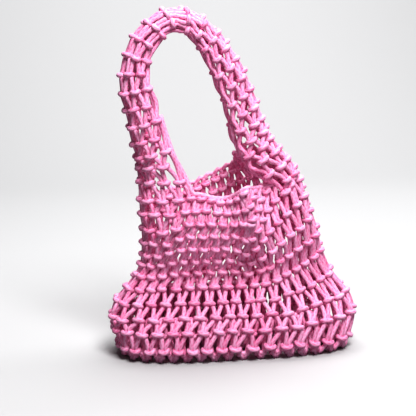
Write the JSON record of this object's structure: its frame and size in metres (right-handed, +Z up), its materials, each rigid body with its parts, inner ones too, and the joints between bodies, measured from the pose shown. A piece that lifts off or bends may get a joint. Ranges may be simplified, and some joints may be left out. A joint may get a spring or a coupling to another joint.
{
  "type": "mesh tote bag",
  "caption": "Slumped hand-knotted macrame tote bag with an open net body, a flat net base, smooth lip cords and a wide curled handle band in one loop.",
  "frame": {"origin": "bottom centre of the bounding box, on the surface that the bag stands on", "axes": "+Z up, +X along the width towards the right end in the picture, -Y is the front"},
  "size_m": [0.3279, 0.1254, 0.428],
  "materials": {
    "pink_cotton_net": "matt",
    "pink_cotton_cord": "matt"
  },
  "bodies": {
    "root": {"body_net": "pink_cotton_net", "base_net": "pink_cotton_net", "handle_band": "pink_cotton_net", "front_lip_cord": "pink_cotton_cord", "back_lip_cord": "pink_cotton_cord"}
  },
  "joints": []
}
